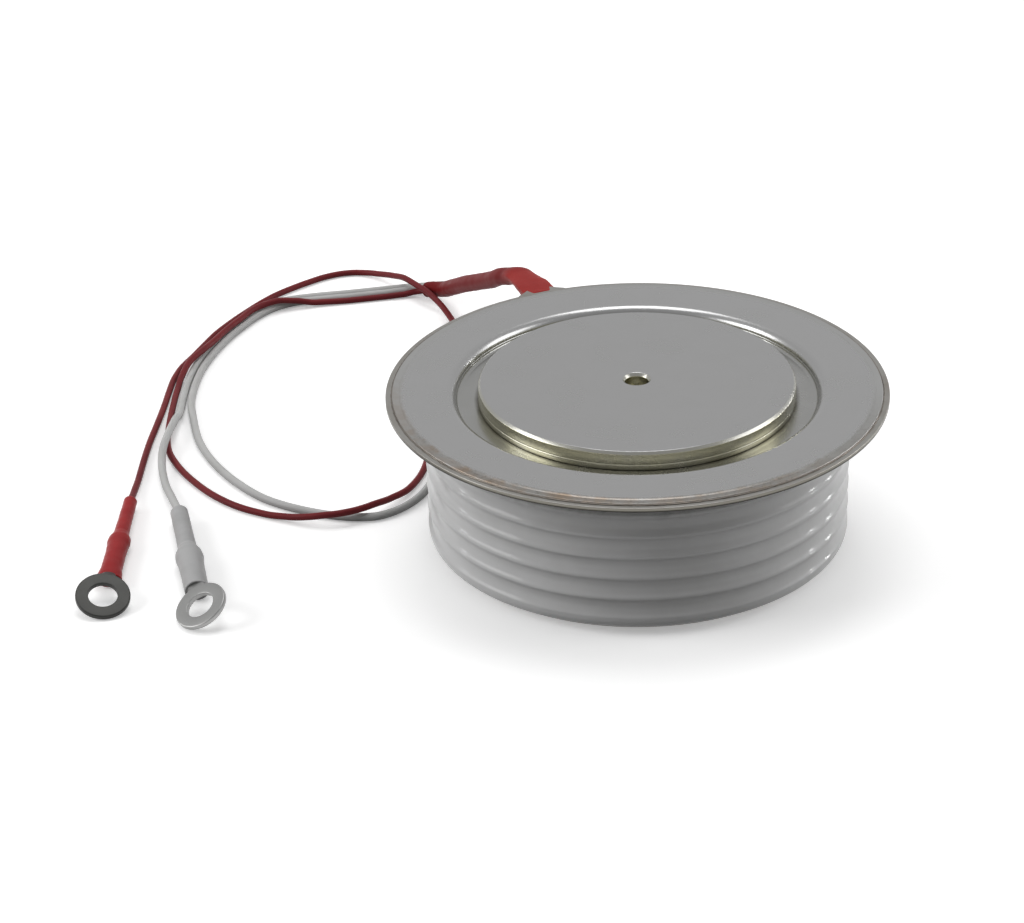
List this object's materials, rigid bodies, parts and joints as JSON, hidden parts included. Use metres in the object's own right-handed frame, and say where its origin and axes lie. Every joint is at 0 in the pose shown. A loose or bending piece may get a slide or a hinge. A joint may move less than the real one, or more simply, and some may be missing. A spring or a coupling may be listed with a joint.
{
  "type": "disc thyristor",
  "caption": "Press-pack disc thyristor: two flat copper poles in a ribbed white ceramic ring with a thin metal rim, and a red and a white lead with ring lugs.",
  "frame": {"origin": "centre of the lower (anode) contact face, at the mouth of its locating hole", "axes": "+Z along the case's axis towards the cathode face; the leads leave the rim between +Y and -X"},
  "size_m": [0.1227, 0.1367, 0.026],
  "materials": {
    "nickel_plate": "satin nickel plate on copper",
    "sheet_metal": "plated sheet with heat tint",
    "cover_sheet": "satin plated sheet",
    "glazed_ceramic": "white glossy glaze",
    "white_insulator": "plain moulded",
    "molybdenum": "lapped",
    "metallised_silicon": "polished metal layer",
    "silicone": "cast bead",
    "gate_contact": "plated",
    "spring_steel": "drawn wire",
    "silvered_wire": "silvered",
    "tube_metal": "drawn tube",
    "red_sleeve": "shrunk sleeve",
    "white_insulation": "extruded",
    "red_insulation": "extruded",
    "white_sleeve": "shrunk sleeve",
    "tinned_copper": "tinned",
    "darkened_copper": "tarnished tin"
  },
  "bodies": {
    "root": {"anode_pole": "nickel_plate", "cathode_pole": "nickel_plate", "anode_seal_ring": "sheet_metal", "weld_flange": "sheet_metal", "cover": "cover_sheet", "ceramic_ring": "glazed_ceramic", "locating_ring": "white_insulator", "anode_disc": "molybdenum", "cathode_disc": "molybdenum", "silicon_wafer": "metallised_silicon", "wafer_edge_seal": "silicone", "gate_pin": "gate_contact", "gate_spring": "spring_steel", "gate_cup": "white_insulator", "inner_gate_wire": "silvered_wire", "gate_tube": "tube_metal", "lead_sleeve": "red_sleeve", "gate_lead": "white_insulation", "cathode_lead": "red_insulation", "gate_lug_sleeve": "white_sleeve", "cathode_lug_sleeve": "red_sleeve", "gate_lug": "tinned_copper", "cathode_lug": "darkened_copper"}
  },
  "joints": []
}
